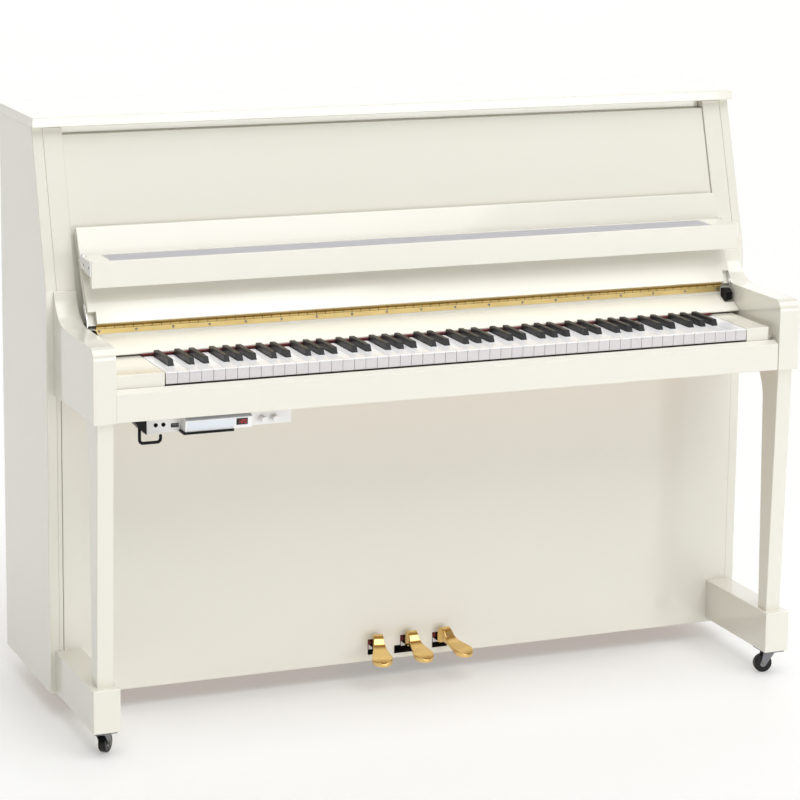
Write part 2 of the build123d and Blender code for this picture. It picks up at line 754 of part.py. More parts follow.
def long_bridge_z(x):
    """Height of the long bridge's lower edge at a place across the soundboard."""
    for (x0, z0), (x1, z1) in zip(LONG_BRIDGE, LONG_BRIDGE[1:]):
        if x <= x1:
            return z0 + (z1 - z0) * (x - x0) / (x1 - x0)
    return LONG_BRIDGE[-1][1]


def soundboard_pieces():
    """The board with its ribs behind and its two bridges in front."""
    back = SOUNDBOARD_Y[1]
    pieces = [block((-704, 704), SOUNDBOARD_Y, (110, 1005))]
    for z in spread(8, 190, 960):
        pieces.append(block((-690, 690), (back, back + 14), (z - 12, z + 12)))
    y = (TREBLE_STRING_Y + 1.5, SOUNDBOARD_Y[0])
    long_high = [(x - 6, z + 34) for x, z in reversed(LONG_BRIDGE)]
    treble = front_prism(LONG_BRIDGE + long_high, y)
    bass = front_prism([(-620, 215), (-250, 158), (-246, 190), (-616, 247)], (BASS_STRING_Y + 4, y[1]))
    for x in PLATE_BARS_X:
        half = PLATE_BAR_W / 2 + 3
        relief = block((x - half, x + half), (PLATE_Y[0] - 30, PLATE_Y[1] + 1), (120, 940))
        treble -= relief
        bass -= relief
    return pieces + [treble, bass]


def iron_plate():
    """The cast frame: a rim with bars and open windows over the soundboard."""
    plate = block((-705, 705), PLATE_Y, PLATE_Z)
    low, high = 140, 985
    half = PLATE_BAR_W / 2
    lefts = [-667] + [x + half for x in PLATE_BARS_X]
    rights = [x - half for x in PLATE_BARS_X] + [667]
    for left, right in zip(lefts, rights):
        cut = block((left, right), (PLATE_Y[0] - 5, PLATE_Y[1] + 5), (low, high))
        plate -= fillet(cut.edges().filter_by(Axis.Y), 30)
    return plate


def strings():
    """One string for each note; the bass crosses over the treble."""
    wires = []
    for i in range(NOTES):
        top_x = note_x(i)
        share = i / (NOTES - 1)
        if i < BASS_NOTES:
            share = i / (BASS_NOTES - 1)
            start = (top_x, BASS_STRING_Y, 1040 + 40 * (i % 2))
            end = (-600 + 360 * share, BASS_STRING_Y, 145 - 30 * share)
            wires.append(rod_between(start, end, 1.6 - 0.6 * share))
        else:
            share = (i - BASS_NOTES) / (NOTES - 1 - BASS_NOTES)
            end_x = -480 + 1110 * share
            start = (top_x, TREBLE_STRING_Y, 1035 + 40 * (i % 2))
            end = (end_x, TREBLE_STRING_Y, long_bridge_z(end_x) - 20)
            wires.append(rod_between(start, end, 0.6))
    return wires


def tuning_pins():
    pins = []
    for i in range(NOTES):
        y_front = BASS_STRING_Y - 8 if i < BASS_NOTES else TREBLE_STRING_Y - 10
        z = 1048 + 40 * (i % 2)
        pins.append(rod_y(note_x(i) + 5.4, (y_front, 232), z, 3.4))
    return pins


save("soundboard", *soundboard_pieces())
save("iron_plate", iron_plate())
save("pinblock", block((-704, 704), (PLATE_Y[1], POST_Y[0] - 0.5), PINBLOCK_Z))
save("strings_and_pins", *strings(), *tuning_pins())


# ------------------------------------------------------------ action
def action_frame():
    """Five cast brackets joined by the hammer, main and spring rails."""
    x = (KEY_LEFT_X - 4, KEY_RIGHT_X + 4)
    frame = block(x, (40, 56), (845, 880))
    frame += block(x, (96, 116), (775, 790))
    frame += block(x, (128, 140), (835, 850))
    for i in spread(5, 0, NOTES):
        bracket_x = note_x(i) - note_x(0) + KEY_LEFT_X
        span = (bracket_x - 2, bracket_x + 2)
        frame += side_prism([(106, 690), (134, 690), (150, 850), (140, 1000), (126, 1000), (126, 850)], span)
        frame += side_prism([(40, 845), (130, 810), (134, 850), (48, 880)], span)
        frame += block(span, (96, 130), (775, 790))
    return frame


def hammers():
    """A felt head, shank and butt for each note."""
    group = []
    for i in range(NOTES):
        x = note_x(i)
        head = block((x - 4.2, x + 4.2), (140, 165), (930, 944))
        head = fillet(head.edges().filter_by(Axis.X).sort_by(Axis.Y)[-2:], 5)
        shank = rod_between((x, 66, 822), (x, 134, 937), 2.6)
        neck = block((x - 3, x + 3), (126, 146), (930, 944))
        butt = block((x - 4, x + 4), (58, 76), (800, 828))
        group.append(head + neck + shank + butt)
    return group


save("action_frame", action_frame())
save("hammers", *hammers())


# ------------------------------------------------------------ pedals
def pedal_profile():
    """Side view: a humped neck that runs down into a thin, gently sloping tongue."""
    reach = PEDAL_TIP_Y - PEDAL_HEEL_Y
    top = [(0, 94), (-9, 103), (-20, 98), (-29, 87), (-50, 78), (reach, 65)]
    under = [(reach, 58.5), (-50, 70), (-26, 75), (0, 70)]
    top, under = [[(y + PEDAL_HEEL_Y, z) for y, z in side] for side in (top, under)]
    edges = [
        Spline(*top),
        Line(top[-1], under[0]),
        Spline(*under),
        Line(under[-1], top[0]),
    ]
    return side_prism(edges, (-60, 60))


def pedal(x, splay):
    """A polished pedal: a bar to its pivot, a humped neck and a splayed tongue."""
    heel_y = PEDAL_HEEL_Y
    tip_r = 21.0
    hollow_mid = (15.6, heel_y - 44)
    tip_side = (tip_r, PEDAL_TIP_Y + tip_r)
    neck = (10.5, heel_y - 20)
    edges = [
        Line((-neck[0], heel_y), (neck[0], heel_y)),
        Line((neck[0], heel_y), neck),
        ThreePointArc(neck, hollow_mid, tip_side),
        ThreePointArc(tip_side, (0, PEDAL_TIP_Y), (-tip_r, tip_side[1])),
        ThreePointArc((-tip_r, tip_side[1]), (-hollow_mid[0], hollow_mid[1]), (-neck[0], neck[1])),
        Line((-neck[0], neck[1]), (-neck[0], heel_y)),
    ]
    plan = Pos(0, 0, 50) * extrude(make_face(Curve() + edges), amount=70, dir=(0, 0, 1))
    foot = pedal_profile() & plan
    rim = [e for e in foot.edges() if e.center().Y < heel_y - 1]
    foot = fillet(rim, PEDAL_RIM_R)
    foot = Pos(0, heel_y, 0) * Rot(0, 0, splay) * Pos(0, -heel_y, 0) * foot
    bar = block((-7, 7), (heel_y - 6, PEDAL_PIVOT_Y + 8), (70, 82))
    boss = rod_x((-10, 10), PEDAL_PIVOT_Y, PEDAL_PIVOT_Z, 9)
    bore = rod_x((-20, 20), PEDAL_PIVOT_Y, PEDAL_PIVOT_Z, PEDAL_BORE_R)
    return Pos(x, 0, 0) * (foot + bar + boss - bore)


def trapwork():
    """Pivot blocks with pins, and the dowels that climb to the action."""
    pieces = []
    for x in (-PEDAL_SPACING, 0, PEDAL_SPACING):
        block_y = (PEDAL_PIVOT_Y - 14, PEDAL_PIVOT_Y + 14)
        left = block((x - 20, x - 11), block_y, (FLOOR_BOARD_Z, 92))
        right = block((x + 11, x + 20), block_y, (FLOOR_BOARD_Z, 92))
        pieces.append(left + right + rod_x((x - 20, x + 20), PEDAL_PIVOT_Y, PEDAL_PIVOT_Z, 4))
    for x in (-520, 160):
        pieces.append(rod_z(x, 80, (FLOOR_BOARD_Z, KEYBED_Z[0]), 8))
    return pieces


for name, place, splay in zip(("left", "middle", "right"), (-1, 0, 1), PEDAL_SPLAY):
    save(f"pedal_{name}", pedal(place * PEDAL_SPACING, splay))
save("trapwork", *trapwork())


# ------------------------------------------------------------ casters
def caster_plate(x, y):
    """A plate under a foot, with the stem that the fork turns on."""
    plate = block((x - 23, x + 23), (y - 28, y + 28), (47.5, TOE_Z))
    plate = fillet(plate.edges().filter_by(Axis.Z), 4)
    return plate + rod_z(x, y, (40, 48), STEM_R)


def caster_fork(x, y, heading):
    """A fork whose wheel trails towards the heading, in degrees from +X."""
    axle_z = WHEEL_R
    crown = Cylinder(15, 5, align=(Align.CENTER, Align.CENTER, Align.MIN)).moved(Pos(0, 0, 41.5))
    cheek = [(-13, 46), (13, 46), (CASTER_TRAIL + 7, axle_z)]
    cheek += [(CASTER_TRAIL, axle_z - 7), (CASTER_TRAIL - 7, axle_z)]
    fork = crown
    for side in (-1, 1):
        y_span = sorted((side * (WHEEL_W / 2 + 0.6), side * (WHEEL_W / 2 + 2.8)))
        fork += front_prism(cheek, y_span)
    fork += block((-13, 13), (-WHEEL_W / 2 - 2, WHEEL_W / 2 + 2), (41.5, 44))
    fork += rod_y(CASTER_TRAIL, (-WHEEL_W / 2 - 2.8, WHEEL_W / 2 + 2.8), axle_z, AXLE_R)
    fork -= rod_z(0, 0, (35, 50), STEM_BORE_R)
    return Pos(x, y, 0) * Rot(0, 0, heading) * fork


def wheel(x, y, heading, trail):
    """A wheel with a softened tread and a bore for its axle."""
    tyre = fillet(Cylinder(WHEEL_R, WHEEL_W).edges(), 2.5) - Cylinder(AXLE_BORE_R, WHEEL_W + 5)
    return Pos(x, y, 0) * Rot(0, 0, heading) * Pos(trail, 0, WHEEL_R) * Rot(90, 0, 0) * tyre


def rear_bracket(x):
    """A fixed bracket with the axle of one rear wheel."""
    bracket = block((x - 18, x + 18), (REAR_CASTER_Y - 24, REAR_CASTER_Y + 24), (44, TOE_Z))
    for side in (-1, 1):
        span = sorted((x + side * (WHEEL_W / 2 + 0.6), x + side * (WHEEL_W / 2 + 4)))
        y, z = REAR_CASTER_Y, WHEEL_R
        bracket += side_prism([(y - 20, 45), (y + 20, 45), (y + 7, z), (y, z - 7), (y - 7, z)], span)
    return bracket + rod_x((x - WHEEL_W / 2 - 4, x + WHEEL_W / 2 + 4), REAR_CASTER_Y, WHEEL_R, AXLE_R)


save(
    "caster_plates",
    caster_plate(-CASTER_X, CASTER_Y),
    caster_plate(CASTER_X, CASTER_Y),
    rear_bracket(-REAR_CASTER_X),
    rear_bracket(REAR_CASTER_X),
)
# the left wheel trails back and inwards, the right one inwards
for name, x, heading in (("left", -CASTER_X, 50), ("right", CASTER_X, 172)):
    save(f"caster_fork_{name}", caster_fork(x, CASTER_Y, heading))
    save(f"caster_wheel_{name}", wheel(x, CASTER_Y, heading, CASTER_TRAIL))
save("rear_wheels", *(wheel(x, REAR_CASTER_Y, 90, 0) for x in (-REAR_CASTER_X, REAR_CASTER_X)))


# ------------------------------------------------------------ control unit
def control_box():
    """The unit under the keybed: end bracket, socket plate, screen housing and knob plate."""
    low, high = UNIT_Z
    x0, x1 = UNIT_X
    box = block((x0 + 26, x1), (UNIT_FACE_Y, -215), (low, high))
    screen = [(-262, low + 4), (-300, low + 4), (-302.5, low + 25), (-293, high), (-262, high)]
    box += side_prism(screen, SCREEN_X)
    for x in (-611, -596):
        box -= rod_y(x, (UNIT_FACE_Y - 5, UNIT_FACE_Y + 14), 633, 3.2)
    box -= block((-580, -567), (UNIT_FACE_Y - 5, UNIT_FACE_Y + 12), (627.5, 633))
    for x in KNOB_X:
        box += rod_y(x, (UNIT_FACE_Y - 12, UNIT_FACE_Y + 3), KNOB_Z, KNOB_SHAFT_R)
    return box


def knob(x):
    body = rod_y(x, (UNIT_FACE_Y - 15, UNIT_FACE_Y - 0.6), KNOB_Z, KNOB_R)
    body = fillet(body.edges().sort_by(Axis.Y)[0], 1.0)
    pointer = block((x - 0.8, x + 0.8), (UNIT_FACE_Y - 15.4, UNIT_FACE_Y - 14), (KNOB_Z + 1, KNOB_Z + 5))
    return body + pointer - rod_y(x, (UNIT_FACE_Y - 12.5, UNIT_FACE_Y + 1), KNOB_Z, KNOB_BORE_R)


def headphone_hook():
    """A black bracket on the unit's end and the bent rod below it."""
    x0 = UNIT_X[0]
    bracket = front_prism([(x0, 650), (x0 + 25.9, 650), (x0 + 25.9, 620), (x0 + 12, 634)], (-290, -240))
    rod_r = 3.0
    bends = [(-647, -286, 640), (-647, -286, 604), (-606, -286, 604), (-606, -286, 616)]
    path = FilletPolyline(*bends, radius=7)
    rod = sweep(Plane(origin=path @ 0, z_dir=path % 0) * Circle(rod_r), path=path)
    tip = Pos(-606, -286, 616) * Sphere(rod_r)
    return bracket + rod + tip


save("control_box", control_box())
save("knob_left", knob(KNOB_X[0]))
save("knob_right", knob(KNOB_X[1]))
save("headphone_hook", headphone_hook())

print(len(written), "nodes written")
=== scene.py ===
import math

import bmesh
import bpy
from mathutils import Matrix, Vector


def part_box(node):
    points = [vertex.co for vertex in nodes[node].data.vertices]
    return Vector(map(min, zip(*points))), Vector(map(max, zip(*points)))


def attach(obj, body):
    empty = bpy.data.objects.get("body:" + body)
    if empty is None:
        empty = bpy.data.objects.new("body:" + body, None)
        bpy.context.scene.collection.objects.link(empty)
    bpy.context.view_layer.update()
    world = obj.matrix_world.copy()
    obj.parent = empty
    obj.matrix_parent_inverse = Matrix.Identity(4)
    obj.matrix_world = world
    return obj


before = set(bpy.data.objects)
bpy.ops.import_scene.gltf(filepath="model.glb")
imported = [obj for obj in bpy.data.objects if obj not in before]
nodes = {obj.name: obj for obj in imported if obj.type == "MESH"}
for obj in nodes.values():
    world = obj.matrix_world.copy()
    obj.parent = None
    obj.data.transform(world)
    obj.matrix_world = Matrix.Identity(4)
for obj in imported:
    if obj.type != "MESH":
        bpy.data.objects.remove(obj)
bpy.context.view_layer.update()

MM = 0.001


# ------------------------------------------------------------ camera
FOCAL_MM = 130.0
SENSOR_MM = 36.0
CAMERA_AT = Vector((-2.1829, -5.3207, 1.9041))
CAMERA_YAW = math.radians(22.227)
CAMERA_DIP = math.radians(10.633)
CAMERA_ROLL = math.radians(0.626)
CAMERA_SHIFT_Y = -0.150


def make_camera():
    """A long lens left of the middle, above the lid, looking a little down."""
    data = bpy.data.cameras.new("camera")
    data.lens = FOCAL_MM
    data.sensor_width = SENSOR_MM
    data.shift_y = CAMERA_SHIFT_Y
    data.clip_end = 200
    camera = bpy.data.objects.new("camera", data)
    turn = Matrix.Rotation(-CAMERA_YAW, 4, "Z")
    dip = Matrix.Rotation(math.pi / 2 - CAMERA_DIP, 4, "X")
    roll = Matrix.Rotation(CAMERA_ROLL, 4, "Z")
    camera.matrix_world = Matrix.Translation(CAMERA_AT) @ turn @ dip @ roll
    bpy.context.scene.collection.objects.link(camera)
    bpy.context.scene.camera = camera


# ------------------------------------------------------------ studio
def area_light(name, at, aim, size, power):
    data = bpy.data.lights.new(name, "AREA")
    data.shape = "RECTANGLE"
    data.size, data.size_y = size
    data.energy = power
    light = bpy.data.objects.new(name, data)
    light.location = at
    light.rotation_euler = (Vector(aim) - Vector(at)).to_track_quat("-Z", "Y").to_euler()
    bpy.context.scene.collection.objects.link(light)
    return light


def sun(name, towards, strength, spread):
    data = bpy.data.lights.new(name, "SUN")
    data.energy = strength
    data.angle = math.radians(spread)
    light = bpy.data.objects.new(name, data)
    light.rotation_euler = Vector(towards).to_track_quat("-Z", "Y").to_euler()
    bpy.context.scene.collection.objects.link(light)


WORLD_WARM = (1.0, 0.96, 0.76)
WORLD_SIDE_SPAN = (-0.9, 0.1)  # of the view direction's X, from the left
WORLD_DEPTH_SPAN = (0.1, 0.9)  # of its Y, towards the back

# sockets of a Mix node that mixes colours
MIX_A, MIX_B, MIX_RESULT = 6, 7, 2


def make_world(front, back, left):
    """A white studio, brighter behind the piano, and dimmer and warmer to its left."""
    world = bpy.data.worlds.new("studio")
    world.use_nodes = True
    tree = world.node_tree
    background = tree.nodes["Background"]
    direction = tree.nodes.new("ShaderNodeSeparateXYZ")
    tree.links.new(tree.nodes.new("ShaderNodeTexCoord").outputs["Generated"], direction.inputs[0])

    def ramp(axis, span, start, end):
        """A level that goes from start to end over a span of the direction's axis."""
        node = tree.nodes.new("ShaderNodeMapRange")
        node.inputs["From Min"].default_value, node.inputs["From Max"].default_value = span
        node.inputs["To Min"].default_value, node.inputs["To Max"].default_value = start, end
        tree.links.new(direction.outputs[axis], node.inputs["Value"])
        return node.outputs["Result"]

    hue = tree.nodes.new("ShaderNodeMix")
    hue.data_type = "RGBA"
    hue.inputs[MIX_A].default_value = (*WORLD_WARM, 1.0)
    hue.inputs[MIX_B].default_value = (1.0, 1.0, 1.0, 1.0)
    tree.links.new(ramp("X", WORLD_SIDE_SPAN, 0.0, 1.0), hue.inputs["Factor"])
    tree.links.new(hue.outputs[MIX_RESULT], background.inputs["Color"])
    product = tree.nodes.new("ShaderNodeMath")
    product.operation = "MULTIPLY"
    tree.links.new(ramp("Y", WORLD_DEPTH_SPAN, front, back), product.inputs[0])
    tree.links.new(ramp("X", WORLD_SIDE_SPAN, left, 1.0), product.inputs[1])
    tree.links.new(product.outputs["Value"], background.inputs["Strength"])
    bpy.context.scene.world = world


FLOOR_GLOW = 0.30  # a light table, so that the shadow stays faint


def make_floor(size):
    bm = bmesh.new()
    bmesh.ops.create_grid(bm, x_segments=1, y_segments=1, size=size)
    mesh = bpy.data.meshes.new("floor")
    bm.to_mesh(mesh)
    bm.free()
    floor = bpy.data.objects.new("floor", mesh)
    bpy.context.scene.collection.objects.link(floor)
    paint = Surface("floor_white", roughness=0.55, emission_strength=FLOOR_GLOW)
    paint.shader.inputs["Emission Color"].default_value = (1.0, 1.0, 1.0, 1.0)
    paint.tint((0.65, 0.65, 0.645), (0.68, 0.68, 0.675), paint.noise(0.8))
    mesh.materials.append(paint.material)


# ------------------------------------------------------------ material tools
class Surface:
    """A Principled material whose detail comes from noise in the object's own space."""

    def __init__(self, name, **sockets):
        self.material = bpy.data.materials.new(name)
        self.material.use_nodes = True
        self.tree = self.material.node_tree
        self.shader = self.tree.nodes["Principled BSDF"]
        for socket, value in sockets.items():
            title = socket.replace("_", " ").title().replace("Ior", "IOR")
            self.shader.inputs[title].default_value = value
        self.space = self.tree.nodes.new("ShaderNodeTexCoord").outputs["Object"]

    def _node(self, kind, **settings):
        node = self.tree.nodes.new(kind)
        for key, value in settings.items():
            setattr(node, key, value)
        return node

    def stretched(self, scale, turn=(0, 0, 0)):
        """The object's space, scaled and turned, for grain that runs one way."""
        mapping = self._node("ShaderNodeMapping")
        mapping.inputs["Scale"].default_value = scale
        mapping.inputs["Rotation"].default_value = turn
        self.tree.links.new(self.space, mapping.inputs["Vector"])
        return mapping.outputs["Vector"]

    def noise(self, scale, detail=3.0, roughness=0.5, space=None):
        node = self._node("ShaderNodeTexNoise")
        node.inputs["Scale"].default_value = scale
        node.inputs["Detail"].default_value = detail
        node.inputs["Roughness"].default_value = roughness
        self.tree.links.new(space or self.space, node.inputs["Vector"])
        return node.outputs["Fac"]

    def spots(self, scale):
        node = self._node("ShaderNodeTexVoronoi")
        node.inputs["Scale"].default_value = scale
        self.tree.links.new(self.space, node.inputs["Vector"])
        return node.outputs["Distance"]

    def rings(self, scale, distortion, space):
        node = self._node("ShaderNodeTexWave", wave_type="BANDS", bands_direction="X")
        node.inputs["Scale"].default_value = scale
        node.inputs["Distortion"].default_value = distortion
        node.inputs["Detail"].default_value = 3.0
        self.tree.links.new(space, node.inputs["Vector"])
        return node.outputs["Fac"]

    def axis(self, name):
        node = self._node("ShaderNodeSeparateXYZ")
        self.tree.links.new(self.space, node.inputs["Vector"])
        return node.outputs[name]

    def step(self, value, start, end):
        """0 before start and 1 after end."""
        node = self._node("ShaderNodeMapRange")
        node.inputs["From Min"].default_value = start
        node.inputs["From Max"].default_value = end
        self.tree.links.new(value, node.inputs["Value"])
        return node.outputs["Result"]

    def math(self, operation, a, b=0):
        node = self._node("ShaderNodeMath", operation=operation)
        for slot, value in enumerate((a, b)):
            if isinstance(value, (int, float)):
                node.inputs[slot].default_value = value
            else:
                self.tree.links.new(value, node.inputs[slot])
        return node.outputs["Value"]

    def mixed(self, a, b, factor):
        """A colour from a to b by factor; a and b are colours or outputs."""
        node = self._node("ShaderNodeMix", data_type="RGBA")
        self.tree.links.new(factor, node.inputs["Factor"])
        for socket, value in ((node.inputs[MIX_A], a), (node.inputs[MIX_B], b)):
            if isinstance(value, tuple):
                socket.default_value = (*value, 1.0)
            else:
                self.tree.links.new(value, socket)
        return node.outputs[MIX_RESULT]

    def paint(self, colour):
        self.tree.links.new(colour, self.shader.inputs["Base Color"])

    def tint(self, a, b, factor):
        self.paint(self.mixed(a, b, factor))

    def gloss(self, factor, low, high):
        """Roughness from low to high over the middle of the noise's range."""
        node = self._node("ShaderNodeMapRange")
        node.inputs["From Min"].default_value = 0.3
        node.inputs["From Max"].default_value = 0.7
        node.inputs["To Min"].default_value = low
        node.inputs["To Max"].default_value = high
        self.tree.links.new(factor, node.inputs["Value"])
        self.tree.links.new(node.outputs["Result"], self.shader.inputs["Roughness"])

    def bump(self, height, strength, distance):
        node = self._node("ShaderNodeBump")
        node.inputs["Strength"].default_value = strength
        node.inputs["Distance"].default_value = distance
        self.tree.links.new(height, node.inputs["Height"])
        self.tree.links.new(node.outputs["Normal"], self.shader.inputs["Normal"])


# ------------------------------------------------------------ materials
def lacquer(name, light, deep):
    """Thick polished polyester lacquer: an even ivory with a faint ripple under the gloss."""
    s = Surface(name, coat_weight=0.6, coat_roughness=0.03, specular_ior_level=0.5)
    s.tint(deep, light, s.noise(1.7, 4.0))
    s.gloss(s.noise(9.0, 5.0), 0.10, 0.17)
    s.bump(s.noise(60.0, 2.0), 0.04, 0.0006)
    return s.material


def wood(name, light, dark, along, across=150.0):
    """Timber with grain along one axis ("X", "Y" or "Z")."""
    s = Surface(name)
    scale = {"X": (5, across, across), "Y": (across, 5, across), "Z": (across, across, 5)}[along]
    space = s.stretched(tuple(v / 10 for v in scale))
    grain = s.noise(10.0, 8.0, 0.65, space)
    plain = s.noise(3.0, 3.0)
    figure = s.math("ADD", s.math("MULTIPLY", grain, 0.7), s.math("MULTIPLY", plain, 0.3))
    s.tint(dark, light, s.step(figure, 0.3, 0.7))
    s.gloss(grain, 0.38, 0.55)
    s.bump(grain, 0.15, 0.0005)
    return s.material


def metal(name, light, dark, roughness, brushed=None):
    """A metal with fine marks, drawn out along one axis when brushed."""
    s = Surface(name, metallic=1.0)
    space = s.space
    if brushed:
        stretch = {"X": (1, 40, 40), "Y": (40, 1, 40), "Z": (40, 40, 1)}[brushed]
        space = s.stretched(stretch)
    marks = s.noise(30.0, 6.0, 0.6, space)
    s.tint(dark, light, s.noise(14.0, 4.0))
    s.gloss(marks, *roughness)
    s.bump(marks, 0.05, 0.0003)
    return s.material


KNUCKLE_PITCH = 18.75 * MM
KNUCKLES = 72
HINGE_PIN = {"Y": -94.4 * MM, "Z": 789.0 * MM}
SEAM_SHADE_REACH = (3.5 * MM, 3.3 * MM)  # distances from the pin: no painted seam shade at the first, full shade at the second


def piano_hinge():
    """Brass: painted shade darkens the seams between the rolled knuckles, and plain brushed leaves beyond
    them.
    """
    s = Surface("hinge_brass", metallic=1.0)
    along = s.math("DIVIDE", s.axis("X"), KNUCKLE_PITCH)
    share = s.math("FRACT", s.math("ADD", along, KNUCKLES / 2))
    from_middle = s.math("ABSOLUTE", s.math("SUBTRACT", share, 0.5))
    from_pin = [s.math("SUBTRACT", s.axis(name), pin) for name, pin in HINGE_PIN.items()]
    squares = [s.math("MULTIPLY", value, value) for value in from_pin]
    none_at, full_at = (reach ** 2 for reach in SEAM_SHADE_REACH)
    on_knuckle = s.step(s.math("ADD", *squares), none_at, full_at)
    shaded_seam = s.math("MULTIPLY", s.step(from_middle, 0.455, 0.48), on_knuckle)
    marks = s.noise(30.0, 6.0, 0.6, s.stretched((1, 40, 40)))
    brass = s.mixed((0.44, 0.32, 0.12), (0.64, 0.50, 0.23), s.noise(14.0, 4.0))
    # painted shade: the seams between knuckles are painted near-black for the shade in the gaps; the bump
    # below also sinks them as grooves
    s.paint(s.mixed(brass, (0.10, 0.065, 0.02), shaded_seam))
    s.gloss(marks, 0.32, 0.45)
    s.bump(s.math("SUBTRACT", marks, s.math("MULTIPLY", shaded_seam, 6.0)), 0.12, 0.0004)
    return s.material


def moulded(name, light, dark, roughness, grain=900.0, **sockets):
    """Moulded plastic or rubber with a fine texture."""
    s = Surface(name, **sockets)
    s.tint(dark, light, s.noise(22.0, 4.0))
    s.gloss(s.noise(60.0, 4.0), *roughness)
    s.bump(s.noise(grain, 2.0), 0.08, 0.0002)
    return s.material


def felt(name, light, dark, sheen=0.6, specular=0.5):
    s = Surface(name, sheen_weight=sheen, sheen_roughness=0.5, roughness=0.95, specular_ior_level=specular)
    fibres = s.noise(700.0, 6.0, 0.7)
    s.tint(dark, light, fibres)
    s.bump(fibres, 0.5, 0.0008)
    return s.material


def key_stick(s):
    """The bare spruce of a key, its grain along the key."""
    grain = s.noise(10.0, 6.0, 0.6, s.stretched((15, 0.5, 15)))
    return s.mixed((0.55, 0.38, 0.20), (0.70, 0.52, 0.31), grain)


# where the covering starts on a white key's stick: above one height and before one depth, in metres
WHITE_KEY_STICK_Z = 0.7341
WHITE_KEY_FRONT_Y = -0.2855


def white_key():
    """Acrylic over the stick's top and front, its front face painted darker as shade, pale spruce behind
    and below.
    """
    s = Surface("white_key_acrylic", coat_weight=0.4, coat_roughness=0.04)
    spruce = key_stick(s)
    top = s.mixed((0.92, 0.92, 0.95), (0.95, 0.95, 0.975), s.noise(30.0, 3.0))
    # painted shade: the key fronts are the same acrylic as the tops, painted darker and greyer as if in
    # shade
    front = s.mixed((0.66, 0.63, 0.64), (0.72, 0.69, 0.70), s.noise(60.0, 3.0))
    on_shaded_front = s.step(s.math("MULTIPLY", s.axis("Y"), -1.0), -WHITE_KEY_FRONT_Y, 0.0003 - WHITE_KEY_FRONT_Y)
    on_top = s.step(s.axis("Z"), WHITE_KEY_STICK_Z, WHITE_KEY_STICK_Z + 0.0001)
    s.paint(s.mixed(s.mixed(spruce, front, on_shaded_front), top, on_top))
    s.gloss(s.noise(25.0, 4.0), 0.12, 0.2)
    s.bump(s.noise(300.0, 2.0), 0.03, 0.0003)
    return s.material


BLACK_KEY_STICK_Z = 0.7345  # metres; the cap starts there


def black_key():
    """Satin black caps, a little polished by fingers, on spruce sticks."""
    s = Surface("black_key_cap", specular_ior_level=0.4)
    spruce = key_stick(s)
    cap = s.mixed((0.004, 0.004, 0.005), (0.010, 0.010, 0.012), s.noise(120.0, 5.0))
    s.paint(s.mixed(spruce, cap, s.step(s.axis("Z"), BLACK_KEY_STICK_Z, BLACK_KEY_STICK_Z + 0.0002)))
    s.gloss(s.noise(40.0, 4.0), 0.30, 0.42)
    s.bump(s.noise(900.0, 2.0), 0.05, 0.0002)
    return s.material


def spruce_board():
    """Close diagonal grain on the soundboard, as its ribs cross it."""
    s = Surface("soundboard_spruce", coat_weight=0.2, coat_roughness=0.2)
    diagonal = (0, math.radians(38), 0)
    lines = s.rings(42.0, 1.2, s.stretched((1, 1, 0.06), diagonal))
    fine = s.noise(10.0, 6.0, 0.6, s.stretched((30, 30, 0.6), diagonal))
    s.tint((0.50, 0.30, 0.13), (0.68, 0.47, 0.25), s.math("MULTIPLY", s.math("ADD", lines, fine), 0.6))
    s.gloss(fine, 0.3, 0.45)
    s.bump(fine, 0.1, 0.0004)
    return s.material


def cast_plate():
    """Bronze paint over a sand-cast surface."""
    s = Surface("plate_bronze_paint", metallic=0.7)
    s.tint((0.42, 0.28, 0.09), (0.60, 0.43, 0.17), s.noise(12.0, 5.0))
    s.gloss(s.noise(40.0, 5.0), 0.35, 0.5)
    s.bump(s.noise(220.0, 5.0), 0.35, 0.001)
    return s.material


COPPER_LIMIT_Y = 0.1765  # metres; the bass strings cross in front of it


def strings():
    """Copper-wound bass strings stand in front of the plain steel ones."""
    s = Surface("music_wire", metallic=1.0)
    steel = s.mixed((0.45, 0.45, 0.46), (0.62, 0.62, 0.62), s.noise(80.0, 3.0))
    copper = s.mixed((0.48, 0.22, 0.10), (0.66, 0.33, 0.17), s.noise(80.0, 3.0))
    windings = s.rings(900.0, 0.0, s.stretched((1, 1, 1), (0, math.pi / 2, 0)))
    s.paint(s.mixed(copper, steel, s.step(s.axis("Y"), COPPER_LIMIT_Y, COPPER_LIMIT_Y + 0.001)))
    s.gloss(s.noise(50.0, 3.0), 0.25, 0.4)
    s.bump(windings, 0.2, 0.0003)
    return s.material


def mat_rubber():
    """The ledge's grey mat, with a fine woven texture."""
    s = Surface("ledge_mat_vinyl", sheen_weight=0.15)
    weave = s.math("ADD", s.noise(500.0, 2.0), s.spots(700.0))
    s.tint((0.42, 0.42, 0.47), (0.52, 0.52, 0.57), weave)
    s.gloss(s.noise(60.0), 0.5, 0.65)
    s.bump(weave, 0.35, 0.0004)
    return s.material


def glow(name, colour, strength):
    """A lit segment behind tinted glass."""
    s = Surface(name, emission_strength=strength, roughness=0.4)
    lit = s.mixed(colour, tuple(v * 0.8 for v in colour), s.noise(400.0))
    s.paint(lit)
    s.tree.links.new(lit, s.shader.inputs["Emission Color"])
    return s.material


IVORY_LIGHT = (0.850, 0.830, 0.750)
IVORY_DEEP = (0.820, 0.797, 0.712)

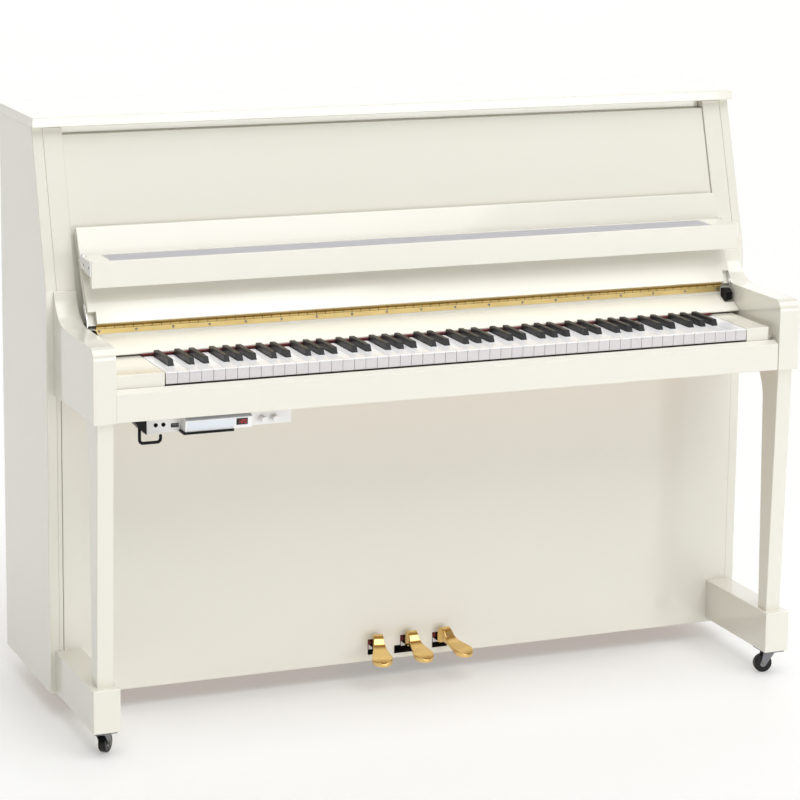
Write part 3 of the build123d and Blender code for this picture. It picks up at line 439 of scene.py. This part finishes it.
paints = {
    "lacquer": lacquer("ivory_lacquer", IVORY_LIGHT, IVORY_DEEP),
    "board": wood("varnished_board", (0.47, 0.30, 0.15), (0.33, 0.19, 0.09), "X"),
    "posts": wood("spruce_posts", (0.60, 0.43, 0.24), (0.44, 0.28, 0.13), "Z"),
    "spruce": spruce_board(),
    "laminate": wood("laminated_maple", (0.56, 0.38, 0.21), (0.38, 0.24, 0.12), "X", 320.0),
    "action": wood("hornbeam", (0.66, 0.49, 0.30), (0.52, 0.36, 0.19), "Y", 200.0),
    "white_key": white_key(),
    "black_key": black_key(),
    "red_felt": felt("red_felt", (0.24, 0.012, 0.018), (0.10, 0.004, 0.006)),
    "plate": cast_plate(),
    "strings": strings(),
    "hinge": metal("lid_hinge_brass", (0.66, 0.50, 0.22), (0.52, 0.37, 0.13), (0.34, 0.46), "X"),
    "piano_hinge": piano_hinge(),
    "pedal": metal("pedal_brass", (0.88, 0.64, 0.27), (0.72, 0.47, 0.16), (0.14, 0.26), "Y"),
    "chrome": metal("plated_steel", (0.80, 0.80, 0.80), (0.68, 0.68, 0.69), (0.10, 0.2)),
    "screw": metal("screw_steel", (0.34, 0.32, 0.29), (0.20, 0.19, 0.17), (0.28, 0.42)),
    "black": moulded(
        "black_plastic", (0.006, 0.006, 0.007), (0.003, 0.003, 0.003), (0.36, 0.48), specular_ior_level=0.15
    ),
    "black_felt": felt("black_felt", (0.010, 0.010, 0.011), (0.004, 0.004, 0.004), 0.05, 0.1),
    "panel_glass": moulded("touch_panel", (0.80, 0.84, 0.90), (0.74, 0.78, 0.85), (0.10, 0.18)),
    "display_glass": moulded("display_glass", (0.012, 0.010, 0.012), (0.006, 0.005, 0.006), (0.06, 0.12)),
    "lit": glow("lit_segment", (0.62, 0.03, 0.025), 0.9),
    "grey": moulded("grey_plastic", (0.46, 0.47, 0.49), (0.38, 0.39, 0.41), (0.32, 0.45)),
    "white": moulded("white_plastic", (0.93, 0.93, 0.925), (0.88, 0.88, 0.87), (0.28, 0.4)),
    "mat": mat_rubber(),
    "caster": metal("caster_steel", (0.26, 0.26, 0.28), (0.13, 0.13, 0.14), (0.25, 0.4)),
    "tyre": moulded(
        "wheel_black", (0.010, 0.010, 0.011), (0.004, 0.004, 0.004), (0.22, 0.36), grain=500.0,
        specular_ior_level=0.3,
    ),
}

NODE_PAINTS = {
    "lacquer": [
        "side_panel_left", "side_panel_right", "pilasters", "arm_left", "arm_right", "legs",
        "toe_blocks", "upper_front_panel", "lower_front_panel", "key_slip", "key_blocks",
        "hinge_rail", "fallboard", "music_ledge", "lid",
    ],
    "board": ["bottom_board", "keybed", "key_frame", "trapwork"],
    "posts": ["back_frame"],
    "spruce": ["soundboard"],
    "laminate": ["pinblock"],
    "action": ["action_frame", "hammers"],
    "white_key": [f"keys_{n}" for n in "abcdefg"],
    "black_key": [f"keys_{n}_sharp" for n in "acdfg"],
    "red_felt": ["key_felt"],
    "plate": ["iron_plate"],
    "strings": ["strings_and_pins"],
    "hinge": ["lid_hinges", "lid_knuckles"],
    "piano_hinge": ["fallboard_hinge_fixed", "fallboard_hinge_moving"],
    "pedal": ["pedal_left", "pedal_middle", "pedal_right"],
    "chrome": ["fallboard_fittings"],
    "black": ["fallboard_dampers", "headphone_hook"],
    "white": ["ledge_brackets", "control_box", "knob_left", "knob_right"],
    "mat": ["ledge_mat"],
    "caster": ["caster_plates", "caster_fork_left", "caster_fork_right"],
    "tyre": ["caster_wheel_left", "caster_wheel_right", "rear_wheels"],
}
for paint, names in NODE_PAINTS.items():
    for name in names:
        nodes[name].data.materials.clear()
        nodes[name].data.materials.append(paints[paint])


# ------------------------------------------------------------ small pieces
def turned(bm, profile, at, towards, segments=28):
    """Adds a turned shape: (radius, height) points in mm, spun about an axis through a place."""
    axis = Vector(towards).normalized()
    across = axis.orthogonal().normalized()
    other = axis.cross(across)
    rows = []
    for radius, height in profile:
        centre = (Vector(at) + axis * height) * MM
        if radius == 0:
            rows.append([bm.verts.new(centre)])
            continue
        row = []
        for i in range(segments):
            angle = 2 * math.pi * i / segments
            spoke = across * math.cos(angle) + other * math.sin(angle)
            row.append(bm.verts.new(centre + spoke * radius * MM))
        rows.append(row)
    for low_row, high_row in zip(rows, rows[1:]):
        for i in range(segments):
            j = (i + 1) % segments
            corners = [low_row[i % len(low_row)], low_row[j % len(low_row)]]
            corners += [high_row[j % len(high_row)], high_row[i % len(high_row)]]
            bm.faces.new(dict.fromkeys(corners))


def slab(bm, x, y, z, r, tilt=0.0):
    """Adds a box with rounded edges between two values on each axis, in mm, tipped about X."""
    size = [abs(span[1] - span[0]) * MM for span in (x, y, z)]
    centre = Vector([(span[0] + span[1]) / 2 * MM for span in (x, y, z)])
    pose = Matrix.Translation(centre) @ Matrix.Rotation(tilt, 4, "X")
    verts = bmesh.ops.create_cube(bm, size=1.0, matrix=pose @ Matrix.Diagonal((*size, 1)))["verts"]
    edges = {edge for vert in verts for edge in vert.link_edges}
    bmesh.ops.bevel(bm, geom=list(edges), offset=r * MM, segments=3, profile=0.5, affect="EDGES")


SHARP_EDGE = math.radians(38)


def place(name, bm, paint, body):
    """Turns the gathered shapes into one piece that moves with a body."""
    bmesh.ops.recalc_face_normals(bm, faces=bm.faces)
    mesh = bpy.data.meshes.new(name)
    bm.to_mesh(mesh)
    bm.free()
    mesh.shade_smooth()
    mesh.set_sharp_from_angle(angle=SHARP_EDGE)
    mesh.materials.append(paints[paint])
    piece = bpy.data.objects.new(name, mesh)
    bpy.context.scene.collection.objects.link(piece)
    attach(piece, body)


def about(middle, span):
    """A span given from a middle, as one on the frame's axis."""
    return tuple(middle + offset for offset in span)


def screw_head(radius, height):
    """A domed countersunk head with a socket in its middle, as a turned profile."""
    socket = [(0, height * 0.1), (radius * 0.28, height * 0.15)]
    dome = [(radius * 0.36, height * 0.92), (radius * 0.7, height * 0.75), (radius, 0.05)]
    return socket + dome + [(radius, -0.3), (0, -0.3)]


HINGE_SCREWS = 19
HINGE_SCREW_SPAN = 667.0  # from the middle to the last screw
HINGE_LEAF_Y = -92.4
HINGE_SCREW_RISE = 5.2  # above the leaf's lower edge


def hinge_screws():
    """A row of screws along the piano hinge's fixed leaf."""
    low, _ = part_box("fallboard_hinge_fixed")
    bm = bmesh.new()
    for i in range(HINGE_SCREWS):
        x = HINGE_SCREW_SPAN * (2 * i / (HINGE_SCREWS - 1) - 1)
        turned(bm, screw_head(2.7, 0.7), (x, HINGE_LEAF_Y, low[2] / MM + HINGE_SCREW_RISE), (0, -1, 0))
    place("fallboard_hinge_screws", bm, "screw", "case")


LEDGE_BRACKET_X = 693.6
LEDGE_SCREW_Z = 910.5
LEDGE_SCREW_YS = (-117.0, -83.0)


def ledge_screws():
    """Two dark screws through each ledge bracket."""
    for side, label in ((-1, "left"), (1, "right")):
        bm = bmesh.new()
        for y in LEDGE_SCREW_YS:
            turned(bm, screw_head(2.6, 0.9), (side * LEDGE_BRACKET_X, y, LEDGE_SCREW_Z), (side, 0, 0))
        place(f"ledge_bracket_screws_{label}", bm, "screw", "ledge")


# (y, z) corners of the screen housing: its front face leans back a little, then its top slopes
FACE_LOW = (-300.0, 622.0)
FACE_HIGH = (-302.5, 643.0)
HOUSING_TOP = (-293.0, 650.0)
FACE_TILT = math.atan2(FACE_LOW[0] - FACE_HIGH[0], FACE_HIGH[1] - FACE_LOW[1])


def on_face(z):
    """Y of the screen housing's leaning front face at a height."""
    share = (z - FACE_LOW[1]) / (FACE_HIGH[1] - FACE_LOW[1])
    return FACE_LOW[0] + (FACE_HIGH[0] - FACE_LOW[0]) * share


def face_slab(bm, x, z, relief, r):
    """Adds a plate on the leaning face of the screen housing, standing out from it by its relief."""
    middle = on_face(sum(z) / 2)
    slab(bm, x, (middle - relief, middle + 0.3), z, r, FACE_TILT)


# the lit bars of each digit, counted from the top:
# top, upper left, upper right, middle, lower left, lower right, bottom
DIGIT_BARS = {"1": (2, 5), "2": (0, 2, 3, 4, 6), "0": (0, 1, 2, 4, 5, 6)}
DIGIT_W, DIGIT_H, BAR_T = 3.2, 6.6, 0.75
DIGIT_RELIEF = 1.35


def digit(bm, x, z, shape):
    """Adds the lit bars of one digit about its middle."""
    w, h, t = DIGIT_W / 2, DIGIT_H / 2, BAR_T / 2
    bars = [
        ((-w, w), (h - t, h + t)),
        ((-w - t, -w + t), (t, h - t)),
        ((w - t, w + t), (t, h - t)),
        ((-w, w), (-t, t)),
        ((-w - t, -w + t), (t - h, -t)),
        ((w - t, w + t), (t - h, -t)),
        ((-w, w), (-h - t, -h + t)),
    ]
    for i in DIGIT_BARS[shape]:
        bar_x, bar_z = bars[i]
        face_slab(bm, about(x, bar_x), about(z, bar_z), DIGIT_RELIEF, 0.12)


TOUCH_PANEL_X, TOUCH_PANEL_Z = (-557.5, -465.5), (624.5, 641.2)
TOP_TRIM_X = (-561.5, -430.5)
TOP_TRIM_RISE = (-0.2, 0.6)  # below and above the sloping top
DISPLAY_X, DISPLAY_Z = (-461.5, -439), (628.5, 641.2)
DISPLAY_DIGITS = ((-456.4, "1"), (-450.2, "2"), (-444.0, "0"))
DIGIT_Z = 634.9
GUARD_STRIP = ((-566, -466), (-303, -272.2), (617.2, 621.8))


def screen_housing_details():
    """Touch panel, grey trim, number display and guard strip."""
    bm = bmesh.new()
    face_slab(bm, TOUCH_PANEL_X, TOUCH_PANEL_Z, 0.9, 0.4)
    place("touch_panel", bm, "panel_glass", "case")
    bm = bmesh.new()
    slope = math.atan2(HOUSING_TOP[1] - FACE_HIGH[1], HOUSING_TOP[0] - FACE_HIGH[0])
    middle = [(a + b) / 2 for a, b in zip(FACE_HIGH, HOUSING_TOP)]
    half = math.dist(FACE_HIGH, HOUSING_TOP) / 2 - 0.3
    slab(bm, TOP_TRIM_X, about(middle[0], (-half, half)), about(middle[1], TOP_TRIM_RISE), 0.25, slope)
    place("housing_top_trim", bm, "grey", "case")
    bm = bmesh.new()
    face_slab(bm, DISPLAY_X, DISPLAY_Z, 1.1, 0.4)
    place("number_display", bm, "display_glass", "case")
    bm = bmesh.new()
    for x, shape in DISPLAY_DIGITS:
        digit(bm, x, DIGIT_Z, shape)
    place("display_digits", bm, "lit", "case")
    bm = bmesh.new()
    slab(bm, *GUARD_STRIP, 0.8)
    place("housing_guard_strip", bm, "black", "case")


SOCKET_PLATE_Y = -272.0
JACK_XS = (-611.0, -596.0)
JACK_Z = 633.0
JACK_OUTSIDE = [(2.9, 1.2), (3.6, 1.2), (4.0, 0.8), (4.0, -0.1), (3.1, -0.1), (3.1, -12.6), (0, -12.6)]
JACK_RING = [(0, -12), (2.6, -12), (2.6, 0.9)] + JACK_OUTSIDE
SOCKET_TONGUE = ((-578.5, -568.5), (-271, -261), (629.7, 630.9))
SOCKET_FLOOR = ((-579.9, -567.1), (-270.6, -262), (627.6, 629.0))
SOCKET_BACK = ((-579.9, -567.1), (-264, -262), (627.6, 632.9))
RIM_X, RIM_Y, RIM_Z = (-581.2, -565.8), (-272.7, -271.8), (626.4, 634.1)
RIM_LEVEL_T, RIM_UPRIGHT_T = 1.0, 1.1


def socket_details():
    """Rings of the two headphone jacks, and the data socket's tongue, inside and rim."""
    bm = bmesh.new()
    for x in JACK_XS:
        turned(bm, JACK_RING, (x, SOCKET_PLATE_Y, JACK_Z), (0, -1, 0))
    place("headphone_jack_rings", bm, "black", "case")
    bm = bmesh.new()
    slab(bm, *SOCKET_TONGUE, 0.2)
    place("data_socket_tongue", bm, "grey", "case")
    bm = bmesh.new()
    slab(bm, *SOCKET_FLOOR, 0.2)
    slab(bm, *SOCKET_BACK, 0.2)
    slab(bm, RIM_X, RIM_Y, (RIM_Z[1] - RIM_LEVEL_T, RIM_Z[1]), 0.2)
    slab(bm, RIM_X, RIM_Y, (RIM_Z[0], RIM_Z[0] + RIM_LEVEL_T), 0.2)
    slab(bm, (RIM_X[0], RIM_X[0] + RIM_UPRIGHT_T), RIM_Y, RIM_Z, 0.2)
    slab(bm, (RIM_X[1] - RIM_UPRIGHT_T, RIM_X[1]), RIM_Y, RIM_Z, 0.2)
    place("data_socket_rim", bm, "black", "case")


KNOB_XS = (-399.5, -376.0)
KNOB_Z = 630.0
SCALE_RADIUS = 9.4
SCALE_DOTS = 11
SCALE_REACH = 140  # degrees to each side of the top, as far as the knob turns
SCALE_DOT = [(0, 0.25), (0.42, 0.2), (0.42, -0.2), (0, -0.2)]


def knob_scales():
    """An arc of small dots round each knob."""
    bm = bmesh.new()
    for knob_x in KNOB_XS:
        for i in range(SCALE_DOTS):
            angle = math.radians(SCALE_REACH * 2 * i / (SCALE_DOTS - 1) - SCALE_REACH)
            x, z = knob_x + SCALE_RADIUS * math.sin(angle), KNOB_Z + SCALE_RADIUS * math.cos(angle)
            turned(bm, SCALE_DOT, (x, SOCKET_PLATE_Y, z), (0, -1, 0), 10)
    place("knob_scale_dots", bm, "black", "case")


PEDALS = (("left", -71.5), ("middle", 0.0), ("right", 71.5))
# spans in x are from the pedal's middle
SLOT_FELT_X, SLOT_FELT_Y, SLOT_FELT_Z = (-34, 24), (-23.6, -21.0), (49, 94)
NECK_HOLE_X, NECK_HOLE_Z = (-7.8, 7.8), (59.5, 83.5)
RED_FELT = ((-16.6, -8.6), (-39, -24.2), (76, 87.6))
SLOT_WALL_Y = (-41.6, -23.8)
# (x, z) of the linings of a slot's walls; the middle slot is wider at its foot
UPPER_WALL = ((-16.95, -16.1), (69.3, 75.8))
OUTER_SLOT_WALLS = (UPPER_WALL, ((-16.95, -16.1), (55.1, 69.3)), ((-16.95, 16.95), (55.05, 56.0)))
MIDDLE_SLOT_WALLS = (UPPER_WALL, ((-29.9, 16.9), (52.05, 53.0)), ((-29.95, -29.1), (53.0, 68.9)))


def pedal_linings():
    """Black felt closes each slot round its pedal, with a red felt pad beside the neck."""
    for label, x in PEDALS:
        bm = bmesh.new()
        felt_x, hole_x = about(x, SLOT_FELT_X), about(x, NECK_HOLE_X)
        slab(bm, felt_x, SLOT_FELT_Y, (NECK_HOLE_Z[1], SLOT_FELT_Z[1]), 0.3)
        slab(bm, felt_x, SLOT_FELT_Y, (SLOT_FELT_Z[0], NECK_HOLE_Z[0]), 0.3)
        slab(bm, (felt_x[0], hole_x[0]), SLOT_FELT_Y, NECK_HOLE_Z, 0.3)
        slab(bm, (hole_x[1], felt_x[1]), SLOT_FELT_Y, NECK_HOLE_Z, 0.3)
        for wall_x, wall_z in MIDDLE_SLOT_WALLS if label == "middle" else OUTER_SLOT_WALLS:
            slab(bm, about(x, wall_x), SLOT_WALL_Y, wall_z, 0.2)
        place(f"pedal_slot_felt_{label}", bm, "black_felt", "case")
        bm = bmesh.new()
        slab(bm, about(x, RED_FELT[0]), *RED_FELT[1:], 1.0)
        place(f"pedal_red_felt_{label}", bm, "red_felt", "case")


CASTERS = (("left", -719.0, 50.0), ("right", 719.0, 172.0))  # x and heading in degrees
CASTER_Y = -270.0
CASTER_TRAIL, AXLE_Z = 13.0, 19.0
CHEEK_OUT, WHEEL_FACE_OUT = 10.3, 7.5  # from the wheel's middle, along the axle
AXLE_NUT = [(0, 1.9), (1.7, 1.9), (2.2, 1.5), (3.6, 1.1), (3.6, -0.3), (0, -0.3)]
WHEEL_HUB = [(3.4, 0.35), (6.4, 0.35), (7.0, 0.1), (7.0, -0.4), (3.4, -0.4)]
PLATE_UNDER_Z = 47.6
PLATE_SCREW_DX, PLATE_SCREW_DY = (-18, 18), (-22, 22)


def caster_details():
    """Axle nuts on the fork cheeks, a hub on each wheel face, and plate screws."""
    for label, x, heading in CASTERS:
        turn = Matrix.Rotation(math.radians(heading), 3, "Z")
        stem = Vector((x, CASTER_Y, 0))
        nuts, hubs = bmesh.new(), bmesh.new()
        for side in (-1, 1):
            out = turn @ Vector((0, side, 0))
            cheek = stem + turn @ Vector((CASTER_TRAIL, side * CHEEK_OUT, AXLE_Z))
            face = stem + turn @ Vector((CASTER_TRAIL, side * WHEEL_FACE_OUT, AXLE_Z))
            turned(nuts, AXLE_NUT, cheek, out, 12)
            turned(hubs, WHEEL_HUB, face, out)
        place(f"caster_nuts_{label}", nuts, "screw", f"fork_{label}")
        place(f"caster_hubs_{label}", hubs, "grey", f"wheel_{label}")
    bm = bmesh.new()
    for _, x, _ in CASTERS:
        for dx in PLATE_SCREW_DX:
            for dy in PLATE_SCREW_DY:
                turned(bm, screw_head(3.0, 0.9), (x + dx, CASTER_Y + dy, PLATE_UNDER_Z), (0, 0, -1), 16)
    place("caster_plate_screws", bm, "screw", "case")


LID_HINGE_XS = (-560, 0, 560)
LID_SCREW_DX = (-30, -10, 10, 30)
LID_SCREW_ZS = (1112, 1136)
LID_LEAF_Y = 299.4


def lid_hinge_screws():
    """Two rows of screws through each lid hinge's lower leaf."""
    bm = bmesh.new()
    for x in LID_HINGE_XS:
        for dx in LID_SCREW_DX:
            for z in LID_SCREW_ZS:
                turned(bm, screw_head(2.8, 0.8), (x + dx, LID_LEAF_Y, z), (0, 1, 0), 20)
    place("lid_hinge_screws", bm, "screw", "case")


hinge_screws()
ledge_screws()
screen_housing_details()
socket_details()
knob_scales()
pedal_linings()
caster_details()
lid_hinge_screws()

bpy.context.scene.view_settings.view_transform = "Standard"
make_camera()
make_world(front=0.26, back=1.15, left=0.25)
make_floor(size=60)
sun("overhead", towards=(-0.10, 0.36, -0.93), strength=2.15, spread=60)
area_light("front_fill", at=(1.8, -7.0, 0.85), aim=(0, 0, 0.5), size=(5.0, 1.6), power=115)

# light that a white room would send back up under the ledge, onto the key tops
bounce = area_light(
    "keyboard_bounce", at=(0.0, -0.175, 0.866), aim=(0, -0.195, 0.745), size=(1.34, 0.11), power=0.58
)
bounce.visible_camera = False
bounce.visible_glossy = False
